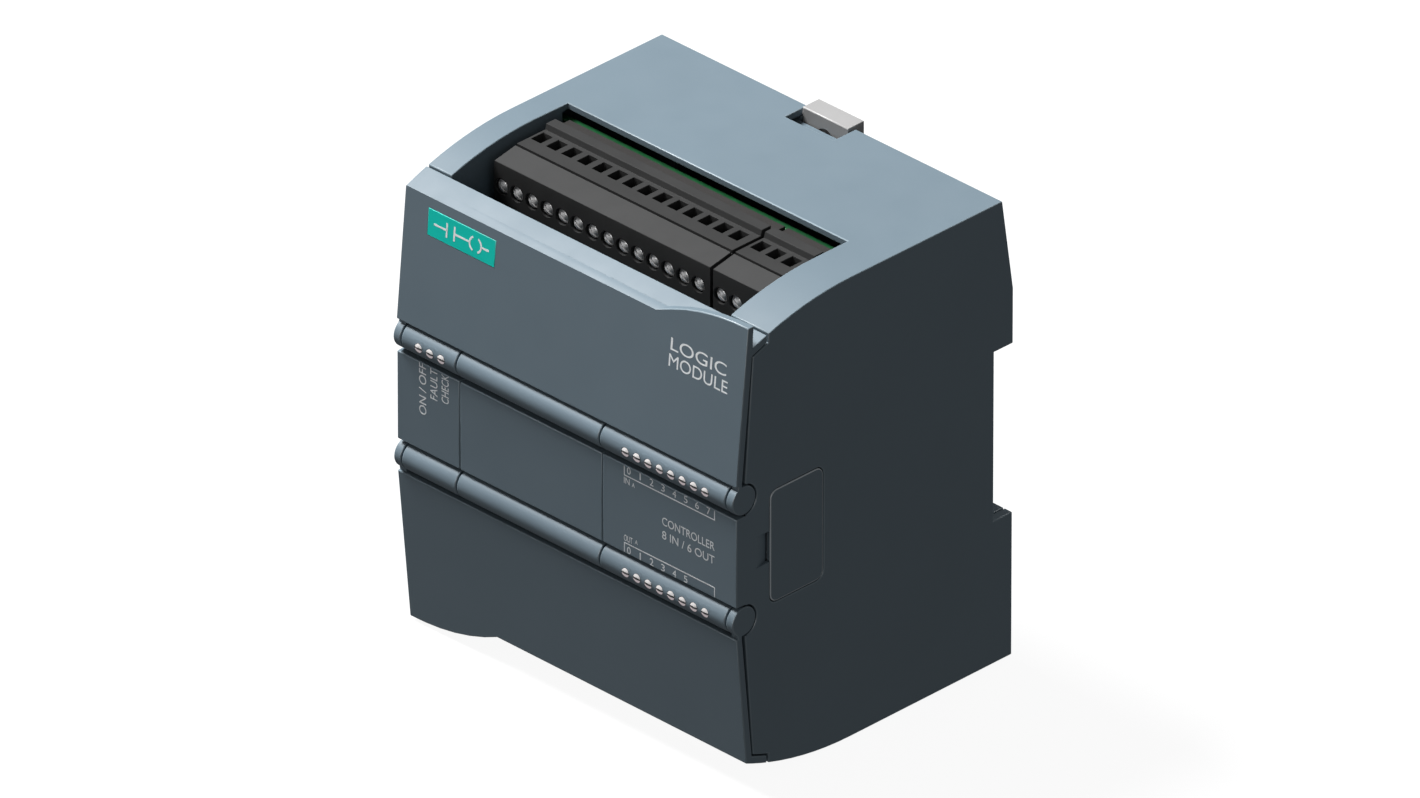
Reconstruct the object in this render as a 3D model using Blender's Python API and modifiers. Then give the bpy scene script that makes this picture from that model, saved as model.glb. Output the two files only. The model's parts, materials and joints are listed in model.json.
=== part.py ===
"""A programmable logic controller module for a 35 mm rail, modelled as its separate pieces.

Units here are millimetres, turned into Blender's metres by MM. +X is the module's right, +Y points back
to the rail, +Z is up, and the origin is the centre of the pad that rests on the rail. The terminal bays,
the doors and the bars above the middle panel repeat below it, turned half a turn about the Y axis.
"""

import math

import bmesh
import bpy
from mathutils import Matrix, Vector

MM = 0.001
GAP = 0.3

# Housing envelope
HALF_WIDTH = 45.0
HALF_HEIGHT = 49.6
REAR_Y = 5.0
SLANT_TOP_Y = 2.0
SLANT_FOOT_Z = 29.8
FLAT_TOP_END_Y = -38.0
TOP_ARC_RADIUS = 72.0
WALL = 2.0
TOP_WALL = 1.45
CHANNEL_TOP_Z = 17.9
CHANNEL_FOOT_Z = -18.6

# Middle panel and the two bars
PANEL_Y = -68.2
PANEL_HALF_HEIGHT = 9.5
PANEL_ROOM_HALF_HEIGHT = 8.3
BAR_Y = -66.2
BEAM_Y = -65.9
BAR_Z = 13.0
BAR_RADIUS = 3.0
BAR_END_X = 42.8
RING_START_X = 43.2
STUB_RADIUS = 1.3
STUB_END_X = 44.35
RING_CLEARANCE = 0.4

# Doors
DOOR_THICKNESS = 1.5
DOOR_FOOT_Z = 16.35
DOOR_HEAD_Y = -65.6
STRIP_REAR_Y = -60.2
FRAME_FRONT_Y = -59.7
TAB_START_X = 20.7
TAB_TOP_Z = 49.4

# Terminal bays: the upper one as it stands, the lower one is its half turn
BAY_LEFT_X = -38.8
BAY_RIGHT_X = 35.0
BAY_REAR_Y = -29.0
BAY_FLOOR_Z = 29.4
FLOOR_THICKNESS = 2.0
POCKET_Y = -54.6
POCKET_FOOT_Z = 16.6
INNER_FRONT_Y = -53.0

# Signal-board cover
COVER_LEFT_X = -28.2
COVER_RIGHT_X = 9.5
RECESS_Y = -56.0

# Circuit boards
IO_BOARD_Y = -30.0
IO_BOARD_HALF_HEIGHT = 46.4
BOARD_THICKNESS = 1.6
CPU_BOARD_Y = -52.6

# Terminal plugs
PITCH = 4.0
PLUG_START_MARGIN = 1.9
PLUG_END_MARGIN = 3.2
PLUG_FRONT_Y = -50.2
PLUG_REAR_Y = -34.1
PLUG_FOOT_Z = 30.95
SCREW_Z = 41.4
WELL_RADIUS = 1.7
SCREW_HEAD_RADIUS = 1.5
SCREW_SHANK_RADIUS = 0.85
INPUT_FIRST_X = -35.2
INPUT_COUNT = 14
ANALOG_FIRST_X = 22.7
ANALOG_COUNT = 3
OUTPUT_FIRST_X = 7.0
OUTPUT_COUNT = 8

# Light windows
WINDOW_WIDTH = 1.7
WINDOW_HEIGHT = 2.3
WINDOW_PITCH = 3.0
WINDOW_TIP_Y = -69.1
STATUS_FIRST_X = -38.3
STATUS_COUNT = 3
CHANNEL_FIRST_X = 16.6
CHANNEL_COUNT = 8

# Side ports
PORT_FRONT_Y = -59.3
PORT_REAR_Y = -45.4
PORT_HALF_HEIGHT = 12.0
PORT_CORNER = 2.0
PORT_RECESS = 1.4

# Rail clips
CLIP_HALF_WIDTH = 6.0
CLIP_FRONT_Y = 0.3
CLIP_REAR_Y = 4.7
CLIP_END_Z = 50.2
CLIP_HOLE_Z = 45.4
CLIP_HOLE_RADIUS = 2.15

ROUND_STEPS = 28
SMALL_ROUND_STEPS = 12
SCREW_STEPS = 10
HALF_TURN = Matrix.Rotation(math.pi, 4, "Y")

OUTLINE_AXES = {
    "X": Matrix(((0, 0, 1), (1, 0, 0), (0, 1, 0))),
    "Y": Matrix(((1, 0, 0), (0, 0, -1), (0, 1, 0))),
    "Z": Matrix(((1, 0, 0), (0, 1, 0), (0, 0, 1))),
}


def clear_scene():
    for obj in list(bpy.data.objects):
        bpy.data.objects.remove(obj, do_unlink=True)


def new_collection(name):
    collection = bpy.data.collections.new(name)
    bpy.context.scene.collection.children.link(collection)
    return collection


def plastic(name, colour, roughness, metallic=0.0):
    material = bpy.data.materials.new(name)
    material.use_nodes = True
    shader = material.node_tree.nodes["Principled BSDF"]
    shader.inputs["Base Color"].default_value = (*colour, 1.0)
    shader.inputs["Roughness"].default_value = roughness
    shader.inputs["Metallic"].default_value = metallic
    return material


# Shapes are gathered in a bmesh, in world metres, and become an object with piece() or tool().


def block(shape, low, high):
    """Adds a box between two corners."""
    low, high = Vector(low) * MM, Vector(high) * MM
    place = Matrix.LocRotScale((low + high) / 2, None, high - low)
    bmesh.ops.create_cube(shape, size=1.0, matrix=place)
    return shape


def rod(shape, radius, start, end, steps=SMALL_ROUND_STEPS):
    """Adds a cylinder with its axis from start to end."""
    start, end = Vector(start) * MM, Vector(end) * MM
    along = end - start
    place = Matrix.Translation((start + end) / 2) @ along.to_track_quat("Z", "Y").to_matrix().to_4x4()
    bmesh.ops.create_cone(
        shape, cap_ends=True, segments=steps, radius1=radius * MM, radius2=radius * MM,
        depth=along.length, matrix=place,
    )
    return shape


def plate(shape, outline, axis, low, high):
    """Adds a flat outline, given in the two other axes, from low to high along axis."""
    curve = bpy.data.curves.new("outline", "CURVE")
    curve.dimensions = "2D"
    curve.fill_mode = "BOTH"
    curve.extrude = (high - low) / 2 * MM
    spline = curve.splines.new("POLY")
    spline.points.add(len(outline) - 1)
    for point, (u, v) in zip(spline.points, outline):
        point.co = (u * MM, v * MM, 0.0, 1.0)
    spline.use_cyclic_u = True
    drawn = bpy.data.objects.new("outline", curve)
    TOOLS.objects.link(drawn)
    middle = Vector([(low + high) / 2 * MM if name == axis else 0.0 for name in "XYZ"])
    drawn.matrix_world = Matrix.Translation(middle) @ OUTLINE_AXES[axis].to_4x4()
    bpy.context.view_layer.update()
    mesh = bpy.data.meshes.new_from_object(drawn.evaluated_get(bpy.context.evaluated_depsgraph_get()))
    mesh.transform(drawn.matrix_world)
    flat = bmesh.new()
    flat.from_mesh(mesh)
    bmesh.ops.remove_doubles(flat, verts=flat.verts, dist=0.001 * MM)
    bmesh.ops.recalc_face_normals(flat, faces=flat.faces)
    flat.to_mesh(mesh)
    flat.free()
    shape.from_mesh(mesh)
    bpy.data.meshes.remove(mesh)
    bpy.data.objects.remove(drawn)
    bpy.data.curves.remove(curve)
    return shape


def blocks(*corners):
    """A new shape of separate boxes, each given by its two corners."""
    shape = bmesh.new()
    for low, high in corners:
        block(shape, low, high)
    return shape


def extrusion(outline, axis, low, high):
    """A new shape of one extruded outline."""
    return plate(bmesh.new(), outline, axis, low, high)


def turned_round(shape):
    """The same shape after half a turn about the Y axis."""
    bmesh.ops.transform(shape, matrix=HALF_TURN, verts=shape.verts)
    return shape


def arc(centre, radius, start, end, steps):
    """Points on a circle, with the angles in degrees."""
    points = []
    for step in range(steps + 1):
        angle = math.radians(start + (end - start) * step / steps)
        points.append((centre[0] + radius * math.cos(angle), centre[1] + radius * math.sin(angle)))
    return points


def rounded_outline(low, high, radius, steps=4):
    """A rectangle with round corners."""
    (u0, v0), (u1, v1) = low, high
    return (
        arc((u1 - radius, v1 - radius), radius, 0, 90, steps)
        + arc((u0 + radius, v1 - radius), radius, 90, 180, steps)
        + arc((u0 + radius, v0 + radius), radius, 180, 270, steps)
        + arc((u1 - radius, v0 + radius), radius, 270, 360, steps)
    )


def to_object(name, shape, origin, collection):
    origin = Vector(origin) * MM
    bmesh.ops.translate(shape, verts=shape.verts, vec=-origin)
    mesh = bpy.data.meshes.new(name)
    shape.to_mesh(mesh)
    shape.free()
    obj = bpy.data.objects.new(name, mesh)
    obj.location = origin
    collection.objects.link(obj)
    return obj


def tool(name, shape):
    """A shape that only cuts or joins other pieces."""
    obj = to_object(name, shape, (0, 0, 0), TOOLS)
    obj.hide_render = True
    obj.display_type = "WIRE"
    return obj


def piece(name, shape, material, origin=(0, 0, 0)):
    """A sub-part, with its origin where it turns, slides or sits."""
    obj = to_object(name, shape, origin, PARTS)
    obj.data.materials.append(material)
    return obj


def combine(obj, operation, name, shape):
    modifier = obj.modifiers.new(name, "BOOLEAN")
    modifier.operation = operation
    modifier.solver = "EXACT"
    modifier.object = tool(f"{obj.name}_{name}", shape)
    return obj


def cut(obj, name, shape):
    return combine(obj, "DIFFERENCE", name, shape)


def join(obj, name, shape):
    return combine(obj, "UNION", name, shape)


def smooth_round_faces(obj, angle=35.0):
    obj.data.shade_smooth()
    obj.data.set_sharp_from_angle(angle=math.radians(angle))


# Outlines shared by several pieces


def top_curve(start_y, end_y, drop=0.0, steps=6):
    """The front curve of the top, from start_y forward to end_y, lowered along its radius."""
    radius = TOP_ARC_RADIUS - drop
    centre_z = HALF_HEIGHT - TOP_ARC_RADIUS
    start = math.degrees(math.acos((start_y - FLAT_TOP_END_Y) / radius))
    end = math.degrees(math.acos((end_y - FLAT_TOP_END_Y) / radius))
    return arc((FLAT_TOP_END_Y, centre_z), radius, start, end, steps)


def flipped(points):
    """The outline's points below the middle plane, in the order that closes it."""
    return [(y, -z) for y, z in reversed(points)]


def housing_outline():
    """The side view, with the rail channel in the back and the door seats in the front."""
    ledge_drop = DOOR_THICKNESS + RING_CLEARANCE
    top = [(SLANT_TOP_Y, HALF_HEIGHT)]
    top += top_curve(FLAT_TOP_END_Y, FRAME_FRONT_Y, steps=7)
    top += top_curve(FRAME_FRONT_Y, DOOR_HEAD_Y + DOOR_THICKNESS + GAP, ledge_drop, steps=2)
    top += [(BEAM_Y, POCKET_FOOT_Z - 0.4), (BEAM_Y, PANEL_HALF_HEIGHT), (PANEL_Y, PANEL_HALF_HEIGHT)]
    back = [
        (REAR_Y, -HALF_HEIGHT), (REAR_Y, CHANNEL_FOOT_Z), (0.0, CHANNEL_FOOT_Z),
        (0.0, CHANNEL_TOP_Z), (REAR_Y, CHANNEL_TOP_Z), (REAR_Y, SLANT_FOOT_Z),
    ]
    return back + top + flipped(top)[:-1]


def door_outline():
    """The side view of the upper door: a leaning plate with a strip that curves back over the bay."""
    outside = top_curve(STRIP_REAR_Y, DOOR_HEAD_Y, steps=3)
    inside = top_curve(DOOR_HEAD_Y + DOOR_THICKNESS, STRIP_REAR_Y, DOOR_THICKNESS, steps=3)
    return outside + [(PANEL_Y, DOOR_FOOT_Z), (PANEL_Y + DOOR_THICKNESS, DOOR_FOOT_Z)] + inside


def plug_outline():
    """The side view of a terminal plug: rear ridge, slot row, groove, sloping strip and screw face."""
    return [
        (PLUG_REAR_Y, PLUG_FOOT_Z), (PLUG_REAR_Y, 48.9), (-36.5, 48.9), (-36.8, 47.7),
        (-44.3, 47.7), (-44.3, 47.0), (-44.6, 47.0), (-44.6, 47.45),
        (PLUG_FRONT_Y, 46.4), (PLUG_FRONT_Y, PLUG_FOOT_Z),
    ]


def header_outline():
    """The side view of a board header: a wall behind the plug and a shelf under it."""
    return [
        (IO_BOARD_Y - GAP, BAY_FLOOR_Z + GAP), (IO_BOARD_Y - GAP, 47.2), (-33.8, 47.2),
        (-33.8, 30.6), (-47.0, 30.6), (-47.0, BAY_FLOOR_Z + GAP),
    ]


# Housing and covers


def window_shape(first_x, count, grow, start_y, end_y):
    """A row of round-ended prongs through the upper bar."""
    shape = bmesh.new()
    half_width = WINDOW_WIDTH / 2 + grow
    half_height = WINDOW_HEIGHT / 2 + grow
    for index in range(count):
        x = first_x + index * WINDOW_PITCH
        outline = rounded_outline(
            (x - half_width, BAR_Z - half_height), (x + half_width, BAR_Z + half_height), half_width * 0.98, 2
        )
        plate(shape, outline, "Y", start_y, end_y)
    return shape


def guide_room(first_x, count, grow):
    """The corners of the block that carries a row of prongs inside the bar's beam."""
    left = first_x - WINDOW_WIDTH / 2 - 0.4 - grow
    right = first_x + (count - 1) * WINDOW_PITCH + WINDOW_WIDTH / 2 + 0.4 + grow
    return (
        (left, -61.6 - grow, BAR_Z - 1.7 - grow),
        (right, INNER_FRONT_Y + grow * 2, BAR_Z + 1.7 + grow),
    )


def bay_space():
    """The upper terminal bay, open at the top and to the front, with the pocket behind the door."""
    outline = [
        (-75.0, POCKET_FOOT_Z), (POCKET_Y, POCKET_FOOT_Z), (POCKET_Y, BAY_FLOOR_Z),
        (BAY_REAR_Y, BAY_FLOOR_Z), (BAY_REAR_Y, 60.0), (-75.0, 60.0),
    ]
    return extrusion(outline, "X", BAY_LEFT_X, BAY_RIGHT_X)


def ring_seat(side):
    """The round seat of a door's end ring in the side wall."""
    inner, outer = sorted((side * (BAR_END_X + 0.15), side * (HALF_WIDTH + 1.0)))
    radius = BAR_RADIUS + RING_CLEARANCE
    return rod(bmesh.new(), radius, (inner, BAR_Y, BAR_Z), (outer, BAR_Y, BAR_Z), ROUND_STEPS)


def add_bars(housing):
    """The fixed lengths of bar on both sides of the signal-board cover, with the stubs the doors turn on."""
    spans = ((-BAR_END_X, COVER_LEFT_X - 0.4), (COVER_RIGHT_X + 0.4, BAR_END_X))
    for level, z in (("upper", BAR_Z), ("lower", -BAR_Z)):
        for side, (left, right) in zip(("left", "right"), spans):
            bar = rod(bmesh.new(), BAR_RADIUS, (left, BAR_Y, z), (right, BAR_Y, z), ROUND_STEPS)
            join(housing, f"bar_{level}_{side}", bar)
        for side, name in ((-1, "left"), (1, "right")):
            stub = rod(bmesh.new(), STUB_RADIUS, (side * 41.5, BAR_Y, z), (side * STUB_END_X, BAR_Y, z))
            join(housing, f"stub_{level}_{name}", stub)


def make_main_housing():
    housing = piece("main_housing", extrusion(housing_outline(), "X", -HALF_WIDTH, HALF_WIDTH), HOUSING)
    inner_x = HALF_WIDTH - WALL
    inner_z = HALF_HEIGHT - TOP_WALL
    middle_z = BAY_FLOOR_Z - FLOOR_THICKNESS
    cut(housing, "rear_room", blocks(((-inner_x, IO_BOARD_Y - 0.4, -inner_z), (inner_x, 10.0, inner_z))))
    cut(housing, "middle_room", blocks(
        ((-inner_x, INNER_FRONT_Y, -middle_z), (inner_x, IO_BOARD_Y + 1.0, middle_z)),
    ))
    cut(housing, "upper_bay", bay_space())
    cut(housing, "lower_bay", turned_round(bay_space()))
    panel_back = PANEL_Y + 2.2
    room_z = PANEL_ROOM_HALF_HEIGHT
    cut(housing, "panel_rooms", blocks(
        ((-inner_x, panel_back, -room_z), (COVER_LEFT_X - 2.2, INNER_FRONT_Y + 1.0, room_z)),
        ((COVER_RIGHT_X + 2.2, panel_back, -room_z), (inner_x, INNER_FRONT_Y + 1.0, room_z)),
    ))
    cut(housing, "cover_recess", blocks(
        ((COVER_LEFT_X - 0.2, -75.0, -POCKET_FOOT_Z - 0.6), (COVER_RIGHT_X + 0.2, RECESS_Y, POCKET_FOOT_Z + 0.6)),
    ))
    cut(housing, "socket_hole", blocks(((-18.6, -60.0, -4.1), (0.6, INNER_FRONT_Y + 1.0, 4.1))))
    for side, name in ((-1, "left"), (1, "right")):
        cut(housing, f"ring_seat_upper_{name}", ring_seat(side))
        cut(housing, f"ring_seat_lower_{name}", turned_round(ring_seat(-side)))
        cut_side_port(housing, side, name)
    add_bars(housing)
    cut_window_holes(housing)
    notch_z = inner_z - 1.0
    for name, shape in (("upper", clip_notch(notch_z)), ("lower", turned_round(clip_notch(notch_z)))):
        cut(housing, f"clip_notch_{name}", shape)
    smooth_round_faces(housing)


def clip_notch(foot_z):
    return blocks(((-CLIP_HALF_WIDTH - 0.35, -3.9, foot_z), (CLIP_HALF_WIDTH + 0.35, 8.0, 60.0)))


def cut_window_holes(housing):
    rows = (
        ("status", STATUS_FIRST_X, STATUS_COUNT, False),
        ("input", CHANNEL_FIRST_X, CHANNEL_COUNT, False),
        ("output", -CHANNEL_FIRST_X - (CHANNEL_COUNT - 1) * WINDOW_PITCH, CHANNEL_COUNT, True),
    )
    for name, first_x, count, below in rows:
        holes = window_shape(first_x, count, 0.25, -75.0, -60.0)
        room = blocks(guide_room(first_x, count, GAP))
        if below:
            turned_round(holes)
            turned_round(room)
        cut(housing, f"{name}_window_holes", holes)
        cut(housing, f"{name}_guide_room", room)


def cut_side_port(housing, side, name):
    """The shallow seat of a port cover, the port inside it and the slot for a screwdriver beside it."""
    outline = rounded_outline(
        (PORT_FRONT_Y - 0.25, -PORT_HALF_HEIGHT - 0.25), (PORT_REAR_Y + 0.25, PORT_HALF_HEIGHT + 0.25), PORT_CORNER
    )
    inner, outer = sorted((side * (HALF_WIDTH - PORT_RECESS), side * 50.0))
    cut(housing, f"port_seat_{name}", extrusion(outline, "X", inner, outer))
    inner, outer = sorted((side * 40.0, side * 50.0))
    cut(housing, f"port_{name}", blocks(((inner, -57.9, -9.2), (outer, -46.8, 9.2))))
    ramp = [(side * 46.0, -66.6), (side * 46.0, -59.2), (side * 43.9, -59.2)]
    cut(housing, f"port_slot_{name}", extrusion(ramp, "Z", -2.9, 3.8))


def make_back_cover():
    """The rear shell: it carries the rail seat, the fixed hooks and the guides of both clips."""
    thickness = 2.0
    edge_z = HALF_HEIGHT - TOP_WALL - 0.35
    slant = (REAR_Y - SLANT_TOP_Y) / (HALF_HEIGHT - SLANT_FOOT_Z)
    edge_y = REAR_Y - slant * (edge_z - SLANT_FOOT_Z)
    floor_y = -0.5
    outer = [
        (REAR_Y, -edge_z), (REAR_Y, CHANNEL_FOOT_Z), (floor_y, CHANNEL_FOOT_Z),
        (floor_y, CHANNEL_TOP_Z), (REAR_Y, CHANNEL_TOP_Z), (REAR_Y, SLANT_FOOT_Z), (edge_y, edge_z),
    ]
    inner = [
        (edge_y - thickness, edge_z), (REAR_Y - thickness, SLANT_FOOT_Z), (REAR_Y - thickness, CHANNEL_TOP_Z + thickness),
        (floor_y - thickness, CHANNEL_TOP_Z + thickness), (floor_y - thickness, CHANNEL_FOOT_Z - thickness),
        (REAR_Y - thickness, CHANNEL_FOOT_Z - thickness), (REAR_Y - thickness, -edge_z),
    ]
    half_width = HALF_WIDTH - WALL - GAP
    cover = piece("back_cover", extrusion(outer + inner, "X", -half_width, half_width), HOUSING)
    join(cover, "rail_seat", blocks(((-24.0, floor_y - 0.5, -15.2), (24.0, 0.0, 15.0))))
    join(cover, "hook_left", blocks(((-34.0, 1.4, 15.4), (-26.0, 4.4, CHANNEL_TOP_Z + 0.4))))
    join(cover, "hook_right", blocks(((26.0, 1.4, 15.4), (34.0, 4.4, CHANNEL_TOP_Z + 0.4))))
    guide_x = CLIP_HALF_WIDTH + 2.4
    guide_end_z = edge_z - 0.6
    join(cover, "upper_clip_guide", blocks(((-guide_x, -2.1, CHANNEL_TOP_Z + 0.8), (guide_x, 2.0, guide_end_z))))
    join(cover, "lower_clip_guide", blocks(((-guide_x, -2.1, -guide_end_z), (guide_x, 4.0, CHANNEL_FOOT_Z - 0.8))))
    groove_x = CLIP_HALF_WIDTH + 0.35
    groove_y = CLIP_FRONT_Y - 0.4
    cut(cover, "upper_clip_groove", blocks(((-groove_x, groove_y, 20.1), (groove_x, 8.0, 60.0))))
    cut(cover, "lower_clip_groove", blocks(((-groove_x, groove_y, -60.0), (groove_x, 8.0, CHANNEL_FOOT_Z + 0.6))))


def make_clips():
    """The clips pull out 8 mm, for a screw through their ends; the lower one also grips the rail."""
    upper = piece(
        "upper_din_clip",
        blocks(((-CLIP_HALF_WIDTH, CLIP_FRONT_Y, 20.5), (CLIP_HALF_WIDTH, CLIP_REAR_Y, CLIP_END_Z))),
        CLIP_GREY,
    )
    nose = [
        (CLIP_REAR_Y, -CLIP_END_Z), (CLIP_REAR_Y, -17.2), (4.3, -15.8), (1.4, -15.8),
        (1.4, CHANNEL_FOOT_Z - GAP), (CLIP_FRONT_Y, CHANNEL_FOOT_Z - GAP), (CLIP_FRONT_Y, -CLIP_END_Z),
    ]
    lower = piece("lower_din_clip", extrusion(nose, "X", -CLIP_HALF_WIDTH, CLIP_HALF_WIDTH), CLIP_GREY)
    for clip, z in ((upper, CLIP_HOLE_Z), (lower, -CLIP_HOLE_Z)):
        hole = rod(bmesh.new(), CLIP_HOLE_RADIUS, (0, -2.0, z), (0, 8.0, z), 20)
        cut(clip, "screw_hole", hole)
        smooth_round_faces(clip)


def tab_outline():
    """The finger tab at the end of a door, seen from the front: it rises in a sweep to full height."""
    foot = 41.5
    rise = [(TAB_START_X, foot), (HALF_WIDTH, foot), (HALF_WIDTH, TAB_TOP_Z)]
    start_z = 43.9
    steps = 6
    for step in range(1, steps):
        share = step / steps
        x = HALF_WIDTH + (TAB_START_X - HALF_WIDTH) * share
        rise.append((x, TAB_TOP_Z - (TAB_TOP_Z - start_z) * share ** 2.2))
    return rise + [(TAB_START_X, start_z)]


def door_shapes():
    """The solids of the upper door: its plate and strip, then what joins them."""
    plate_shape = extrusion(door_outline(), "X", -HALF_WIDTH, HALF_WIDTH)
    tab = extrusion(tab_outline(), "Y", DOOR_HEAD_Y, DOOR_HEAD_Y + DOOR_THICKNESS)
    lean = (DOOR_HEAD_Y - PANEL_Y) / (44.1 - 16.2)
    for vertex in tab.verts:
        vertex.co.y += lean * (vertex.co.z - 44.1 * MM)
    joined = [("tab", tab)]
    for side, name in ((-1, "left"), (1, "right")):
        inner, outer = sorted((side * RING_START_X, side * HALF_WIDTH))
        ring = rod(bmesh.new(), BAR_RADIUS, (inner, BAR_Y, BAR_Z), (outer, BAR_Y, BAR_Z), ROUND_STEPS)
        neck = blocks(((inner, PANEL_Y + 0.5, BAR_Z + 1.0), (outer, PANEL_Y + 1.4, DOOR_FOOT_Z + 0.6)))
        joined += [(f"ring_{name}", ring), (f"neck_{name}", neck)]
    bores = bmesh.new()
    for side in (-1, 1):
        start, end = side * (RING_START_X - 0.5), side * (STUB_END_X + 0.25)
        rod(bores, STUB_RADIUS + 0.2, (start, BAR_Y, BAR_Z), (end, BAR_Y, BAR_Z))
    return plate_shape, joined, bores


def make_door(name, below):
    plate_shape, joined, bores = door_shapes()
    turn = turned_round if below else (lambda shape: shape)
    axis_z = -BAR_Z if below else BAR_Z
    door = piece(name, turn(plate_shape), HOUSING, (0, BAR_Y, axis_z))
    for part_name, shape in joined:
        join(door, part_name, turn(shape))
    cut(door, "stub_bores", turn(bores))
    smooth_round_faces(door)
    return door


def leaning_block(low_x, high_x, low_z, high_z, front, back):
    """A box that leans with the upper door's face; front and back are depths from that face."""
    lean = (DOOR_HEAD_Y - PANEL_Y) / (44.1 - 16.2)
    shape = blocks(((low_x, PANEL_Y + front, low_z), (high_x, PANEL_Y + back, high_z)))
    for vertex in shape.verts:
        vertex.co.y += lean * (vertex.co.z - 16.2 * MM)
    return shape


def make_doors():
    upper = make_door("upper_door", below=False)
    make_door("lower_door", below=True)
    cut(upper, "label_seat", leaning_block(-38.75, -20.75, 36.25, 41.95, -2.0, 0.6))
    piece("label_plate", leaning_block(-38.5, -21.0, 36.5, 41.7, -0.05, 0.3), LABEL)


def make_signal_board_cover():
    """The removable middle of the front, with its own length of both bars."""
    panel = blocks(((COVER_LEFT_X, PANEL_Y, -PANEL_HALF_HEIGHT), (COVER_RIGHT_X, PANEL_Y + 2.4, PANEL_HALF_HEIGHT)))
    cover = piece("signal_board_cover", panel, HOUSING, ((COVER_LEFT_X + COVER_RIGHT_X) / 2, PANEL_Y, 0))
    web_z = BAR_Z - 1.5
    join(cover, "web", blocks(((COVER_LEFT_X, BAR_Y, -web_z), (COVER_RIGHT_X, BAR_Y + 1.2, web_z))))
    for name, z in (("upper", BAR_Z), ("lower", -BAR_Z)):
        bar = rod(bmesh.new(), BAR_RADIUS, (COVER_LEFT_X, BAR_Y, z), (COVER_RIGHT_X, BAR_Y, z), ROUND_STEPS)
        join(cover, f"bar_{name}", bar)
    legs = bmesh.new()
    for x in (COVER_LEFT_X + 0.6, COVER_RIGHT_X - 2.6):
        for z in (-8.5, 5.5):
            block(legs, (x, PANEL_Y + 1.5, z), (x + 2.0, RECESS_Y - 1.0, z + 3.0))
    join(cover, "legs", legs)
    smooth_round_faces(cover)


def make_port_cover(name, side):
    """A flush cover over a side port, held by two snap tabs."""
    outline = rounded_outline(
        (PORT_FRONT_Y, -PORT_HALF_HEIGHT), (PORT_REAR_Y, PORT_HALF_HEIGHT), PORT_CORNER - 0.25
    )
    inner_x = side * (HALF_WIDTH - PORT_RECESS + GAP)
    inner, outer = sorted((inner_x, side * HALF_WIDTH))
    origin = (inner_x, (PORT_FRONT_Y + PORT_REAR_Y) / 2, 0)
    cover = piece(name, extrusion(outline, "X", inner, outer), HOUSING, origin)
    tabs = bmesh.new()
    inner, outer = sorted((side * 41.6, inner_x + side * 0.4))
    for foot in (-8.8, 7.4):
        block(tabs, (inner, -57.4, foot), (outer, -54.6, foot + 1.4))
    join(cover, "tabs", tabs)


# Light guides


def make_light_guide(name, first_x, count, below=False):
    body = blocks(guide_room(first_x, count, 0.0))
    prongs = window_shape(first_x, count, 0.0, WINDOW_TIP_Y, -61.0)
    if below:
        turned_round(body)
        turned_round(prongs)
    guide = piece(name, body, CLEAR)
    join(guide, "prongs", prongs)


# Boards and what stands on them


def make_boards():
    half_width = HALF_WIDTH - WALL - 0.4
    top = IO_BOARD_HALF_HEIGHT
    rear = IO_BOARD_Y + BOARD_THICKNESS
    piece("io_board", blocks(((-half_width, IO_BOARD_Y, -top), (half_width, rear, top))), BOARD_GREEN)
    rear = CPU_BOARD_Y + BOARD_THICKNESS
    piece("processor_board", blocks(((-42.0, CPU_BOARD_Y, -21.0), (42.0, rear, 21.0))), BOARD_GREEN)
    link = blocks(((-13.0, rear + GAP, -3.2), (13.0, IO_BOARD_Y - GAP, 3.2)))
    piece("board_link_connector", link, CONNECTOR_BLACK)
    chip = blocks(((16.0, rear + GAP, -8.0), (32.0, rear + 1.9, 8.0)))
    piece("processor_chip", chip, CHIP_BLACK)
    socket = piece("signal_board_socket", blocks(((-18.0, -58.5, -3.5), (0.0, CPU_BOARD_Y - GAP, 3.5))), CONNECTOR_BLACK)
    cut(socket, "mouth", blocks(((-16.8, -60.0, -2.2), (-1.2, -55.2, 2.2))))


def make_side_connector(name, side):
    inner, outer = sorted((side * 34.0, side * 42.6))
    connector = piece(name, blocks(((inner, -58.6, -6.6), (outer, CPU_BOARD_Y - GAP, 6.6))), CONNECTOR_BLACK)
    inner, outer = sorted((side * 38.0, side * 44.0))
    cut(connector, "mouth", blocks(((inner, -57.4, -5.4), (outer, -54.1, 5.4))))


def make_power_parts():
    board_rear = IO_BOARD_Y + BOARD_THICKNESS + GAP
    coil = rod(bmesh.new(), 6.0, (-22.0, board_rear + 7.0, 12.0), (-22.0, board_rear + 7.0, 32.0), 20)
    transformer = piece("transformer", coil, CORE_GREY)
    join(transformer, "core", blocks(
        ((-32.0, board_rear + 1.5, 10.0), (-12.0, board_rear + 12.5, 13.5)),
        ((-32.0, board_rear + 1.5, 30.5), (-12.0, board_rear + 12.5, 34.0)),
    ))
    join(transformer, "legs", blocks(
        ((-32.0, board_rear + 1.5, 10.0), (-28.5, board_rear + 12.5, 34.0)),
        ((-15.5, board_rear + 1.5, 10.0), (-12.0, board_rear + 12.5, 34.0)),
    ))
    join(transformer, "bobbin_foot", blocks(((-30.0, board_rear, 8.0), (-14.0, board_rear + 2.0, 36.0))))
    for index in range(6):
        x = 2.0 + index * 6.5
        relay = blocks(((x, board_rear, -44.0), (x + 5.0, board_rear + 15.0, -24.0)))
        piece(f"relay_{index + 1}", relay, CONNECTOR_BLACK)


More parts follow.
